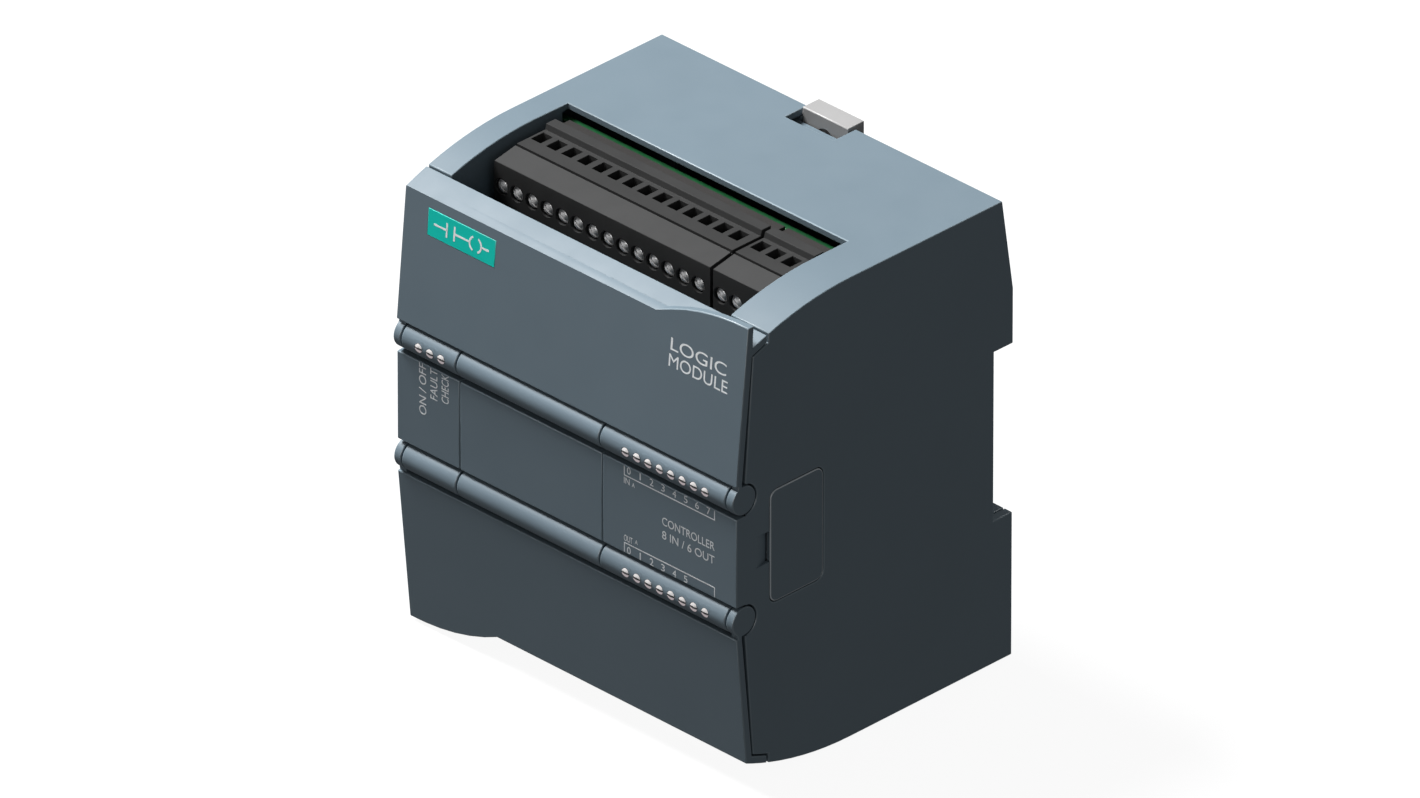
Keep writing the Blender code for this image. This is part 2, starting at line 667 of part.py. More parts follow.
def make_ethernet_jack():
    jack = piece("ethernet_jack", blocks(((-33.2, -44.0, -47.6), (-16.8, IO_BOARD_Y - GAP, -29.8))), JACK_METAL)
    cut(jack, "port", blocks(((-30.9, -41.4, -50.0), (-19.1, -33.2, -33.5))))
    cut(jack, "latch_groove", blocks(((-27.0, -42.9, -50.0), (-23.0, -41.0, -40.0))))


def make_memory_card_socket():
    socket = piece("memory_card_socket", blocks(((7.0, -59.0, 17.2), (34.4, POCKET_Y - GAP, 28.6))), CONNECTOR_BLACK)
    cut(socket, "card_slot", blocks(((8.4, -58.2, 18.6), (33.0, -55.8, 40.0))))


# Terminals


def plug_span(first_x, count):
    return first_x - PLUG_START_MARGIN, first_x + (count - 1) * PITCH + PLUG_END_MARGIN


def make_header(name, first_x, count, below=False):
    left, right = plug_span(first_x, count)
    shape = extrusion(header_outline(), "X", left, right)
    piece(name, turned_round(shape) if below else shape, HEADER_BLACK)


def make_plug(name, first_x, count, below=False):
    """A terminal plug with a test slot, a screw well and a wire entry for every way."""
    left, right = plug_span(first_x, count)
    openings = {"wells": bmesh.new(), "test_slots": bmesh.new(), "wire_entries": bmesh.new()}
    for index in range(count):
        x = first_x + index * PITCH
        rod(openings["wells"], WELL_RADIUS, (x, PLUG_FRONT_Y - 1.0, SCREW_Z), (x, -42.0, SCREW_Z))
        block(openings["test_slots"], (x - 1.25, -41.1, 45.6), (x + 1.25, -37.8, 50.0))
        block(openings["wire_entries"], (x - 1.3, PLUG_FRONT_Y - 1.0, 33.2), (x + 1.3, -43.0, 36.4))
    body = extrusion(plug_outline(), "X", left, right)
    if below:
        for shape in (body, *openings.values()):
            turned_round(shape)
    middle = (left + right) / 2 * (-1 if below else 1)
    plug = piece(name, body, PLUG_BLACK, (middle, PLUG_REAR_Y, (-1 if below else 1) * PLUG_FOOT_Z))
    for opening, shape in openings.items():
        cut(plug, opening, shape)
    smooth_round_faces(plug)


def screw_mesh():
    """One terminal screw, with its head to -Y: a turned blank with a slot across the head."""
    head, shank = SCREW_HEAD_RADIUS, SCREW_SHANK_RADIUS
    profile = [(0.0, 6.6), (shank, 6.6), (shank, 1.8), (head, 1.8), (head, 0.0), (0.0, 0.0)]
    blank = bmesh.new()
    points = [blank.verts.new((radius * MM, 0.0, along * MM)) for radius, along in profile]
    for start, end in zip(points, points[1:]):
        blank.edges.new((start, end))
    screw = tool("terminal_screw_blank", blank)
    spin = screw.modifiers.new("turn", "SCREW")
    spin.axis = "Z"
    spin.steps = spin.render_steps = SCREW_STEPS
    spin.use_merge_vertices = True
    spin.merge_threshold = 0.00001
    cut(screw, "slot", blocks(((-2.0, -0.3, -1.0), (2.0, 0.3, 0.7))))
    bpy.context.view_layer.update()
    mesh = bpy.data.meshes.new_from_object(screw.evaluated_get(bpy.context.evaluated_depsgraph_get()))
    mesh.name = "terminal_screw"
    mesh.transform(Matrix.Rotation(math.radians(-90.0), 4, "X"))
    mesh.materials.clear()
    mesh.materials.append(SCREW_STEEL)
    mesh.shade_smooth()
    mesh.set_sharp_from_angle(angle=math.radians(35.0))
    return mesh


def make_screws():
    mesh = screw_mesh()
    rows = (
        ("input", INPUT_FIRST_X, INPUT_COUNT, SCREW_Z),
        ("analog", ANALOG_FIRST_X, ANALOG_COUNT, SCREW_Z),
        ("output", OUTPUT_FIRST_X, OUTPUT_COUNT, -SCREW_Z),
    )
    for row, first_x, count, z in rows:
        for index in range(count):
            screw = bpy.data.objects.new(f"{row}_screw_{index + 1:02d}", mesh)
            screw.location = Vector((first_x + index * PITCH, PLUG_FRONT_Y + 0.6, z)) * MM
            PARTS.objects.link(screw)


clear_scene()
PARTS = new_collection("plc_module")
TOOLS = new_collection("tools")

HOUSING = plastic("housing_plastic", (0.125, 0.165, 0.195), 0.42)
LABEL = plastic("label_teal", (0.01, 0.36, 0.26), 0.4)
CLIP_GREY = plastic("clip_grey", (0.62, 0.62, 0.62), 0.5)
CLEAR = plastic("light_guide_milky", (0.75, 0.72, 0.7), 0.25)
BOARD_GREEN = plastic("board_green", (0.0, 0.16, 0.03), 0.45)
CONNECTOR_BLACK = plastic("connector_black", (0.02, 0.02, 0.02), 0.5)
HEADER_BLACK = plastic("header_black", (0.05, 0.045, 0.04), 0.55)
PLUG_BLACK = plastic("plug_black", (0.03, 0.03, 0.03), 0.5)
CHIP_BLACK = plastic("chip_black", (0.015, 0.015, 0.017), 0.6)
CORE_GREY = plastic("ferrite_grey", (0.06, 0.06, 0.065), 0.7)
JACK_METAL = plastic("jack_metal", (0.6, 0.6, 0.6), 0.3, 1.0)
SCREW_STEEL = plastic("screw_steel", (0.62, 0.6, 0.6), 0.28, 1.0)

make_main_housing()
make_back_cover()
make_clips()
make_doors()
make_signal_board_cover()
make_port_cover("expansion_port_cover", 1)
make_port_cover("comm_port_cover", -1)
make_light_guide("status_light_guide", STATUS_FIRST_X, STATUS_COUNT)
make_light_guide("input_light_guide", CHANNEL_FIRST_X, CHANNEL_COUNT)
CHANNEL_LAST_X = CHANNEL_FIRST_X + (CHANNEL_COUNT - 1) * WINDOW_PITCH
make_light_guide("output_light_guide", -CHANNEL_LAST_X, CHANNEL_COUNT, below=True)
make_boards()
make_side_connector("expansion_connector", 1)
make_side_connector("comm_connector", -1)
make_power_parts()
make_ethernet_jack()
make_memory_card_socket()
make_header("input_header", INPUT_FIRST_X, INPUT_COUNT)
make_header("analog_header", ANALOG_FIRST_X, ANALOG_COUNT)
OUTPUT_LAST_X = OUTPUT_FIRST_X + (OUTPUT_COUNT - 1) * PITCH
make_header("output_header", -OUTPUT_LAST_X, OUTPUT_COUNT, below=True)
make_plug("input_plug", INPUT_FIRST_X, INPUT_COUNT)
make_plug("analog_plug", ANALOG_FIRST_X, ANALOG_COUNT)
make_plug("output_plug", -OUTPUT_LAST_X, OUTPUT_COUNT, below=True)
make_screws()
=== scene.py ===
"""Looks of the controller module: finishes, fine pieces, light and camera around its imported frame.

Lengths here are millimetres in the part's own frame, turned into Blender's metres by MM: +X is the
module's right, +Y points back to the rail and +Z is up. Places come from the boxes of the CAD nodes.
"""

import json
import math

import bmesh
import bpy
from mathutils import Matrix, Vector


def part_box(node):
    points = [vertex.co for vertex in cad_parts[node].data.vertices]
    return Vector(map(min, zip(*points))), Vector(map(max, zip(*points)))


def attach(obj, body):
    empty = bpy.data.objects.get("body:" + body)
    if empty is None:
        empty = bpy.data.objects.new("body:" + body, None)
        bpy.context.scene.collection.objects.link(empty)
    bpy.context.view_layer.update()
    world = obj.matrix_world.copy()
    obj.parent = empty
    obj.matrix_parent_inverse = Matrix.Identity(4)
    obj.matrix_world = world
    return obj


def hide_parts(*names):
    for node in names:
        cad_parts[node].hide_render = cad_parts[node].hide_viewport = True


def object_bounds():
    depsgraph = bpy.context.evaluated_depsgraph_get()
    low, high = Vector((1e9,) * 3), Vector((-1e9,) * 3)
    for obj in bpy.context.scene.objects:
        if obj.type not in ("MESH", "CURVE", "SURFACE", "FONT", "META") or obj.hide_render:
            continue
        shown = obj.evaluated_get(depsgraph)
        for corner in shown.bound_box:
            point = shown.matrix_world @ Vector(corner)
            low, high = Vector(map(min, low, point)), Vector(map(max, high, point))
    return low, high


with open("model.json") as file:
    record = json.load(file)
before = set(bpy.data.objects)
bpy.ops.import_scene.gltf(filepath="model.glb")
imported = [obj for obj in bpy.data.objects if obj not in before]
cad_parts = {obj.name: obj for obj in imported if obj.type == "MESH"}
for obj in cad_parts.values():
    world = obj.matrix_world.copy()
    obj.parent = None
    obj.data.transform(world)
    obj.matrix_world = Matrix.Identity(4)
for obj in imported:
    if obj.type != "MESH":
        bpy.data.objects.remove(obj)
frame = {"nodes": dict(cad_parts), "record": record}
CAD_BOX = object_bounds()
NODES = frame["nodes"]
BODY_OF = {node: body for body, nodes in frame["record"]["behaviour"]["bodies"].items() for node in nodes}
SLOT_OF = {part["node"]: part["material_slot"] for part in frame["record"]["subparts"]}

MM = 0.001
RIGHT = Vector((1.0, 0.0, 0.0))
BACK = Vector((0.0, 1.0, 0.0))
UP = Vector((0.0, 0.0, 1.0))

# Rounded edges
EDGE_ANGLE = math.radians(35)
EDGE_MIN_LENGTH = 0.5
EDGE_APART = math.cos(math.radians(25))
WELD = 0.001
FLAT_ANGLE = math.radians(0.3)
ROUND_STEP = math.radians(30)
SHARP_ANGLE = math.radians(50)
WIDEST_STEP = 5.0
HOUSING_EDGE = 0.2
THIN_EDGE = 0.1
BLOCK_EDGE = 0.15

# Front of the module
BAR_RADIUS = 3.0
PANEL_STEP = 1.0
DOOR_FOOT = 16.2
DOOR_LEAN = 2.6 / 27.9
PLATE_GROWTH = 0.2
PLATE_SEAT = 0.4

# Light windows
WINDOW_PITCH = 3.0
GUIDE_END = 1.25
GUIDE_SETBACK = 4.6
LENS_RADIUS = 0.92
LENS_CROWN = 0.12
LENS_ROWS = 8
LENS_GAP_DEPTH = 0.2
LENS_SKIRT = 1.0
COLLAR_INNER = 1.0
COLLAR_HALF_WIDTH = 1.2
COLLAR_HALF_HEIGHT = 1.5
COLLAR_CORNER = 1 / 3
COLLAR_DEPTH = 0.9
COLLAR_STEPS = 32
# Each ring's share of the way from the eye to the lip's outer edge, and its rise above the bar
COLLAR_RINGS = ((0.0, 0.0), (0.5, 0.005), (1.0, 0.005), (1.0, -0.3))

# Terminal screws
SCREW_RADIUS = 1.55
SCREW_SHANK = 0.8
SCREW_CROWN = 0.9
SCREW_RIM = 0.55
SCREW_SLOT = 0.42
SCREW_SLOT_DEPTH = 0.95
SCREW_TURN = math.radians(-42)
SCREW_RIM_BACK = 0.35
SCREW_END = 6.0
SCREW_STEPS = 32
CROWN_STEPS = 6

# Wire clamps
CLAMP_DROP = 6.6
CLAMP_HALF_WIDTH = 1.28
CLAMP_HALF_HEIGHT = 1.58
CLAMP_WALL = 0.3
CLAMP_PLATE = 0.8
CLAMP_PLATE_INSET = 0.5
CLAMP_START = 0.6
CLAMP_END = 6.2

# Print
PRINT_DEPTH = 0.018
STATUS_TOP = 9.4
STATUS_SHIFT = 0.15
STATUS_HEIGHT = 1.9
KIND_X = 32.3
KIND_WIDTH = 13.8
KIND_HEIGHT = 1.75
NUMBER_Z = 8.6
NUMBER_WIDTH = 0.95
ONE_WIDTH = 0.3
NUMBER_HEIGHT = 1.5
BRACKET_Z = 7.4
BRACKET_END = 9.3
LINE_WIDTH = 0.22
CHANNEL_WORD_Z = 6.2
CHANNEL_WORD_HEIGHT = 1.3
LETTER_WIDTH = 0.75
DOOR_WORD_HEIGHT = 2.6
SYMBOL_LINE = 0.42
COIL_X = 3.7
COIL_RADIUS = 1.55
COIL_HALF_ANGLE = 65
COIL_STEPS = 12

# Camera and light
SENSOR_WIDTH = 36.0
LENS = 900.0
CAMERA_TARGET = Vector((0.0, -30.2, 1.8)) * MM
CAMERA_AZIMUTH = math.radians(45)
CAMERA_ELEVATION = math.radians(30)
CAMERA_DISTANCE = 6.655
LIGHT_TARGET = Vector((0.0, -30.0, 0.0)) * MM
FLOOR_HALF_SIZE = 6.0
FLOOR_GAP = 0.05


def mm_box(node):
    """The lowest and highest corners of a CAD node, in millimetres."""
    low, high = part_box(node)
    return low / MM, high / MM


# Camera, light and surroundings


def direction(azimuth, elevation):
    """From the object towards a viewer; azimuth 0 is in front of the module and grows towards +X."""
    return Vector((
        math.sin(azimuth) * math.cos(elevation),
        -math.cos(azimuth) * math.cos(elevation),
        math.sin(elevation),
    ))


def aim(obj, place, target):
    obj.location = place
    obj.rotation_mode = "QUATERNION"
    obj.rotation_quaternion = (target - place).to_track_quat("-Z", "Y")


def make_camera():
    data = bpy.data.cameras.new("photo_view")
    data.sensor_width = SENSOR_WIDTH
    data.lens = LENS
    data.clip_start = 0.5
    data.clip_end = 100.0
    camera = bpy.data.objects.new("photo_view", data)
    bpy.context.scene.collection.objects.link(camera)
    place = CAMERA_TARGET + CAMERA_DISTANCE * direction(CAMERA_AZIMUTH, CAMERA_ELEVATION)
    aim(camera, place, CAMERA_TARGET)
    bpy.context.scene.camera = camera


def make_light(name, towards, distance, size, power, tint=(1.0, 1.0, 1.0)):
    data = bpy.data.lights.new(name, "AREA")
    data.shape = "DISK"
    data.size = size
    data.energy = power
    data.color = tint
    lamp = bpy.data.objects.new(name, data)
    bpy.context.scene.collection.objects.link(lamp)
    lamp.visible_camera = False
    aim(lamp, LIGHT_TARGET + distance * Vector(towards).normalized(), LIGHT_TARGET)
    return lamp


def make_world():
    """A world that lights evenly and looks white."""
    world = bpy.data.worlds.new("studio")
    world.use_nodes = True
    bpy.context.scene.world = world
    nodes, links = world.node_tree.nodes, world.node_tree.links
    nodes.clear()
    fill = nodes.new("ShaderNodeBackground")
    fill.inputs["Color"].default_value = (0.97, 0.985, 1.0, 1.0)
    fill.inputs["Strength"].default_value = 0.17
    backdrop = nodes.new("ShaderNodeBackground")
    backdrop.inputs["Color"].default_value = (1.0, 1.0, 1.0, 1.0)
    backdrop.inputs["Strength"].default_value = 1.05
    rays = nodes.new("ShaderNodeLightPath")
    mix = nodes.new("ShaderNodeMixShader")
    out = nodes.new("ShaderNodeOutputWorld")
    links.new(rays.outputs["Is Camera Ray"], mix.inputs["Fac"])
    links.new(fill.outputs["Background"], mix.inputs[1])
    links.new(backdrop.outputs["Background"], mix.inputs[2])
    links.new(mix.outputs["Shader"], out.inputs["Surface"])


def make_floor():
    """A white floor just below the module, with a faint shadow."""
    material = bpy.data.materials.new("floor")
    material.use_nodes = True
    shader = material.node_tree.nodes["Principled BSDF"]
    shader.inputs["Base Color"].default_value = (0.1, 0.1, 0.1, 1.0)
    shader.inputs["Roughness"].default_value = 0.9
    shader.inputs["Specular IOR Level"].default_value = 0.0
    shader.inputs["Emission Color"].default_value = (1.0, 1.0, 1.0, 1.0)
    shader.inputs["Emission Strength"].default_value = 0.93
    shape = bmesh.new()
    bmesh.ops.create_grid(shape, x_segments=1, y_segments=1, size=FLOOR_HALF_SIZE)
    mesh = bpy.data.meshes.new("floor")
    shape.to_mesh(mesh)
    shape.free()
    mesh.materials.append(material)
    floor = bpy.data.objects.new("floor", mesh)
    bpy.context.scene.collection.objects.link(floor)
    floor.location.z = CAD_BOX[0].z - FLOOR_GAP * MM
    floor.visible_diffuse = False
    floor.visible_glossy = False


# Materials


def noise(nodes, links, place, size, detail):
    """Noise whose features are about size millimetres."""
    node = nodes.new("ShaderNodeTexNoise")
    node.inputs["Scale"].default_value = 1.0 / (size * MM)
    node.inputs["Detail"].default_value = detail
    links.new(place, node.inputs["Vector"])
    return node.outputs["Fac"]


def spread(nodes, links, value, to_low, to_high):
    """Stretches the middle of a noise over a range of values."""
    node = nodes.new("ShaderNodeMapRange")
    node.inputs["From Min"].default_value = 0.3
    node.inputs["From Max"].default_value = 0.7
    node.inputs["To Min"].default_value = to_low
    node.inputs["To Max"].default_value = to_high
    links.new(value, node.inputs["Value"])
    return node.outputs["Result"]


def surface(name, colour, roughness, mottle=0.04, mottle_size=12.0, grain=0.3, depth=0.006,
            gloss_change=0.04, metallic=0.0, shine=0.5, glow=0.0):
    """A finish with slow changes of shade, changes of gloss, and a fine grain in its relief."""
    material = bpy.data.materials.new(name)
    material.use_nodes = True
    nodes, links = material.node_tree.nodes, material.node_tree.links
    shader = nodes["Principled BSDF"]
    shader.inputs["Metallic"].default_value = metallic
    shader.inputs["Specular IOR Level"].default_value = shine
    # Emission in the finish's own colour: where glow is set, a glow painted on a part that is no lamp
    shader.inputs["Emission Color"].default_value = (*colour, 1.0)
    shader.inputs["Emission Strength"].default_value = glow
    place = nodes.new("ShaderNodeTexCoord").outputs["Object"]
    shade = nodes.new("ShaderNodeMix")
    shade.data_type = "RGBA"
    shade.inputs["A"].default_value = (*[c * (1 - mottle) for c in colour], 1.0)
    shade.inputs["B"].default_value = (*[min(1.0, c * (1 + mottle)) for c in colour], 1.0)
    mottling = noise(nodes, links, place, mottle_size, 4.0)
    links.new(spread(nodes, links, mottling, 0.0, 1.0), shade.inputs["Factor"])
    links.new(shade.outputs["Result"], shader.inputs["Base Color"])
    gloss = noise(nodes, links, place, mottle_size / 3, 3.0)
    gloss_range = spread(nodes, links, gloss, roughness - gloss_change, roughness + gloss_change)
    links.new(gloss_range, shader.inputs["Roughness"])
    bump = nodes.new("ShaderNodeBump")
    bump.inputs["Strength"].default_value = 1.0
    bump.inputs["Distance"].default_value = depth * MM
    links.new(noise(nodes, links, place, grain, 2.0), bump.inputs["Height"])
    links.new(bump.outputs["Normal"], shader.inputs["Normal"])
    return material


def make_materials():
    """For each slot of the record: its finish, and its rounded edges' finish, mostly a paler painted
    highlight.
    """
    housing = (0.118, 0.163, 0.196)
    return {
        # Second finish of each pair: the colour of the rounded edges, paler than the body as a painted
        # highlight line
        "housing": (surface("housing", housing, 0.57, mottle=0.02, mottle_size=25.0),
                    surface("housing_edge_highlight", (0.18, 0.235, 0.27), 0.42, grain=0.5, depth=0.003)),
        "name_plate": (surface("name_plate", (0.004, 0.58, 0.48), 0.4, grain=0.5, depth=0.002, shine=0.2),
                       surface("name_plate_edge_highlight", (0.08, 0.68, 0.58), 0.35)),
        "clip": (surface("clip", (0.295, 0.291, 0.289), 0.55),
                 surface("clip_edge_highlight", (0.4, 0.395, 0.39), 0.45)),
        "light_guide": (surface("light_guide", (0.75, 0.72, 0.71), 0.3, mottle=0.03, depth=0.002),
                        surface("light_guide_edge", (0.6, 0.58, 0.58), 0.25, mottle=0.03, depth=0.002)),
        "circuit_board": (surface("circuit_board", (0.0005, 0.05, 0.012), 0.4, mottle=0.12, mottle_size=3.0),
                          surface("circuit_board_edge_highlight", (0.01, 0.1, 0.025), 0.6, mottle=0.2)),
        # The plug's edge finish is darker than its body: painted shade, a dark line along its edges
        "plug": (surface("plug", (0.02, 0.02, 0.02), 0.6, mottle=0.06, shine=0.3),
                 surface("plug_edge_shade", (0.014, 0.014, 0.014), 0.65, mottle=0.06, shine=0.2)),
        "header": (surface("header", (0.02, 0.018, 0.017), 0.6, mottle=0.06, shine=0.3),
                   surface("header_edge_highlight", (0.028, 0.025, 0.024), 0.55, mottle=0.06, shine=0.3)),
        "connector": (surface("connector", (0.02, 0.02, 0.021), 0.45, mottle=0.08),
                      surface("connector_edge_highlight", (0.035, 0.035, 0.036), 0.38, mottle=0.08)),
        "chip": (surface("chip", (0.015, 0.015, 0.017), 0.4, mottle=0.1),
                 surface("chip_edge_highlight", (0.03, 0.03, 0.032), 0.35)),
        "ferrite": (surface("ferrite", (0.05, 0.05, 0.055), 0.6, mottle=0.15, grain=0.5, depth=0.03),
                    surface("ferrite_edge_highlight", (0.08, 0.08, 0.085), 0.55)),
        "jack_shield": (surface("jack_shield", (0.62, 0.61, 0.6), 0.3, metallic=1.0, depth=0.003),
                        surface("jack_shield_edge_highlight", (0.72, 0.71, 0.7), 0.22, metallic=1.0)),
        # The screw's second finish darkens its slot: painted shade in the recess
        "screw": (surface("screw", (0.86, 0.85, 0.845), 0.34, metallic=0.4, mottle=0.08, depth=0.002),
                  surface("screw_slot_shade", (0.16, 0.155, 0.15), 0.5, metallic=0.5, mottle=0.08)),
    }


def make_extra_materials():
    """Finishes of the fine pieces that aren't a slot of their own."""
    return {
        "print": surface("print", (0.72, 0.74, 0.75), 0.5, mottle=0.08, mottle_size=2.0, depth=0.001),
        "bright_print": surface(
            "bright_print", (0.88, 0.9, 0.91), 0.5, mottle=0.06, mottle_size=2.0, depth=0.001
        ),
        "white_print": surface(
            "white_print", (0.9, 0.91, 0.91), 0.5, mottle=0.04, mottle_size=2.0, depth=0.001
        ),
        # Painted highlight round the edges of the port covers
        "cover_edge_highlight": surface("cover_edge_highlight", (0.62, 0.67, 0.7), 0.45, grain=0.5, depth=0.003),
        # Lower lens halves: pinker, with a glow that is painted light
        "lens_low_glow": surface("lens_low_glow", (0.72, 0.63, 0.65), 0.25, mottle=0.03, depth=0.002, glow=0.35),
        "clamp": surface("clamp", (0.62, 0.6, 0.57), 0.4, metallic=1.0, mottle=0.1, depth=0.003),
        # Painted shade in the gaps between the lens halves and on their skirts
        "lens_gap_shade": surface("lens_gap_shade", (0.045, 0.04, 0.042), 0.5, mottle=0.05),
    }


# Meshes


def bends(face, edge):
    """Whether a face runs on across an edge as the next step of a round surface."""
    return (
        len(edge.link_faces) == 2
        and all(side.material_index == 0 for side in edge.link_faces)
        and FLAT_ANGLE < edge.calc_face_angle() < ROUND_STEP
    )


def shade_rounds(shape):
    """Shades the narrow faces of round surfaces and rounded edges as curved, and leaves flat faces flat."""
    for edge in shape.edges:
        finishes = {face.material_index for face in edge.link_faces}
        alike = len(edge.link_faces) == 2 and len(finishes) == 1
        edge.smooth = alike and edge.calc_face_angle() < SHARP_ANGLE
    for face in shape.faces:
        width = face.calc_area() / max(edge.calc_length() for edge in face.edges)
        steps = any(bends(face, edge) for edge in face.edges)
        face.smooth = face.material_index == 1 or (steps and width < WIDEST_STEP * MM)


def add_object(name, shape, finishes, body):
    """Makes a piece in place from a bmesh in metres."""
    shade_rounds(shape)
    mesh = bpy.data.meshes.new(name)
    shape.to_mesh(mesh)
    shape.free()
    if mesh.has_custom_normals:
        mesh.attributes.remove(mesh.attributes["custom_normal"])
    for finish in finishes:
        mesh.materials.append(finish)
    obj = bpy.data.objects.new(name, mesh)
    bpy.context.scene.collection.objects.link(obj)
    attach(obj, body)
    return obj


def block(shape, low, high):
    """Adds a box between two corners given in millimetres."""
    low, high = Vector(low) * MM, Vector(high) * MM
    matrix = Matrix.LocRotScale((low + high) / 2, None, high - low)
    return bmesh.ops.create_cube(shape, size=1.0, matrix=matrix)["verts"]


def round_edges(shape, edges, width):
    bmesh.ops.bevel(
        shape, geom=edges, offset=width * MM, offset_type="OFFSET", segments=2, profile=0.5, affect="EDGES",
        clamp_overlap=False, loop_slide=True, miter_outer="ARC", material=1,
    )


def away(edge, vert):
    return (edge.other_vert(vert).co - vert.co).normalized()


def outer_edges(shape):
    """The sharp outward edges, without those that run close beside another edge from the same corner."""
    sharp = [
        edge for edge in shape.edges
        if len(edge.link_faces) == 2
        and edge.calc_face_angle_signed() > EDGE_ANGLE
        and edge.calc_length() >= EDGE_MIN_LENGTH * MM
    ]
    crowded = set()
    for edge in sharp:
        for vert in edge.verts:
            for other in vert.link_edges:
                if other is not edge and away(edge, vert).dot(away(other, vert)) > EDGE_APART:
                    crowded.add(edge)
    return [edge for edge in sharp if edge not in crowded]


def whole_shape(node):
    """A CAD node's mesh with joined corners and undivided flat faces."""
    shape = bmesh.new()
    shape.from_mesh(NODES[node].data)
    bmesh.ops.remove_doubles(shape, verts=shape.verts, dist=WELD * MM)
    bmesh.ops.dissolve_limit(shape, angle_limit=FLAT_ANGLE, verts=shape.verts, edges=shape.edges)
    return shape


def in_plate_seat(edge):
    """Whether an edge lies round the name plate, in its seat, where the fitted plate needs sharp walls."""
    low, high = mm_box("label_plate")
    points = [vert.co / MM for vert in edge.verts]
    return all(
        low.x - PLATE_SEAT < point.x < high.x + PLATE_SEAT
        and low.z - PLATE_SEAT < point.z < high.z + PLATE_SEAT
        for point in points
    )


def moulded(node, width):
    """A copy of a CAD node with its outward edges rounded and coloured apart: paler as a painted highlight,
    on plugs darker as painted shade. It stands for the node.
    """
    shape = whole_shape(node)
    round_edges(shape, [edge for edge in outer_edges(shape) if not in_plate_seat(edge)], width)
    finish, edge_finish = MATERIALS[SLOT_OF[node]]
    # Port covers: a much paler edge finish, a painted highlight outlining the cover
    if node.endswith("port_cover"):
        edge_finish = EXTRA["cover_edge_highlight"]
    obj = add_object(f"{node}_moulding", shape, (finish, edge_finish), BODY_OF[node])
    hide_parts(node)


def make_plate():
    """The name plate, grown almost to the walls of its seat."""
    shape = whole_shape("label_plate")
    low, high = mm_box("label_plate")
    middle = (low + high) / 2 * MM
    growth = (1 + 2 * PLATE_GROWTH / (high.x - low.x), 1.0, 1 + 2 * PLATE_GROWTH / (high.z - low.z), 1.0)
    shape.transform(Matrix.Translation(middle) @ Matrix.Diagonal(growth) @ Matrix.Translation(-middle))
    round_edges(shape, outer_edges(shape), THIN_EDGE)
    plate = add_object(
        "label_plate_fitted", shape, MATERIALS["name_plate"], BODY_OF["label_plate"]
    )
    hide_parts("label_plate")


def dress_node(node, width):
    """Gives a plain CAD node its finish, with its edges rounded by modifiers."""
    obj = NODES[node]
    obj.data.materials.clear()
    for material in MATERIALS[SLOT_OF[node]]:
        obj.data.materials.append(material)
    obj.data.shade_smooth()
    corners = obj.modifiers.new("joined_corners", "WELD")
    corners.merge_threshold = WELD * MM
    flats = obj.modifiers.new("whole_faces", "DECIMATE")
    flats.decimate_type = "DISSOLVE"
    flats.angle_limit = FLAT_ANGLE
    rounding = obj.modifiers.new("rounded_edges", "BEVEL")
    rounding.width = width * MM
    rounding.segments = 2
    rounding.limit_method = "ANGLE"
    rounding.angle_limit = EDGE_ANGLE
    rounding.use_clamp_overlap = False
    # Bevel faces take the slot's second finish, a paler painted highlight along the edges
    rounding.material = 1
    obj.modifiers.new("even_shading", "WEIGHTED_NORMAL")


# Lights on the front


def bar_front(height):
    """How far the round front of a bar stands in front of its axis, at a height from the axis."""
    return math.sqrt(BAR_RADIUS ** 2 - height ** 2)


def add_lens(shape, x, bar_y, z):
    """A round lens in the bar, in two halves with a dark gap: flush at its rim and slightly domed. The lower
    half is pinker and glows, a painted light, and the gap is painted shade.
    """
    verts = bmesh.ops.create_grid(shape, x_segments=LENS_ROWS, y_segments=LENS_ROWS, size=1.0)["verts"]
    faces = {face for vert in verts for face in vert.link_faces}
    rim = [edge for face in faces for edge in face.edges if len(edge.link_faces) == 1]
    for face in faces:
        middle = face.calc_center_median().y
        # Middle rows: the gap's painted shade; lower half: the pinker finish with its painted glow
        face.material_index = 3 if abs(middle) < 2.0 / LENS_ROWS else (0 if middle > 0 else 2)
    for vert in verts:
        across, height = vert.co.x, vert.co.y
        dx = across * math.sqrt(1 - height * height / 2) * LENS_RADIUS
        dz = height * math.sqrt(1 - across * across / 2) * LENS_RADIUS
        crown = LENS_CROWN * (1 - (dx * dx + dz * dz) / LENS_RADIUS ** 2)
        sunk = LENS_GAP_DEPTH if abs(height) < 0.5 / LENS_ROWS else 0.0
        vert.co = Vector((x + dx, bar_y - bar_front(dz) - crown + sunk, z + dz)) * MM
    skirt = bmesh.ops.extrude_edge_only(shape, edges=rim)["geom"]
    for vert in [item for item in skirt if isinstance(item, bmesh.types.BMVert)]:
        vert.co.y = (bar_y - LENS_SKIRT) * MM
    # The skirt down into the eye takes the gap's painted shade
    for face in [item for item in skirt if isinstance(item, bmesh.types.BMFace)]:
        face.material_index = 3


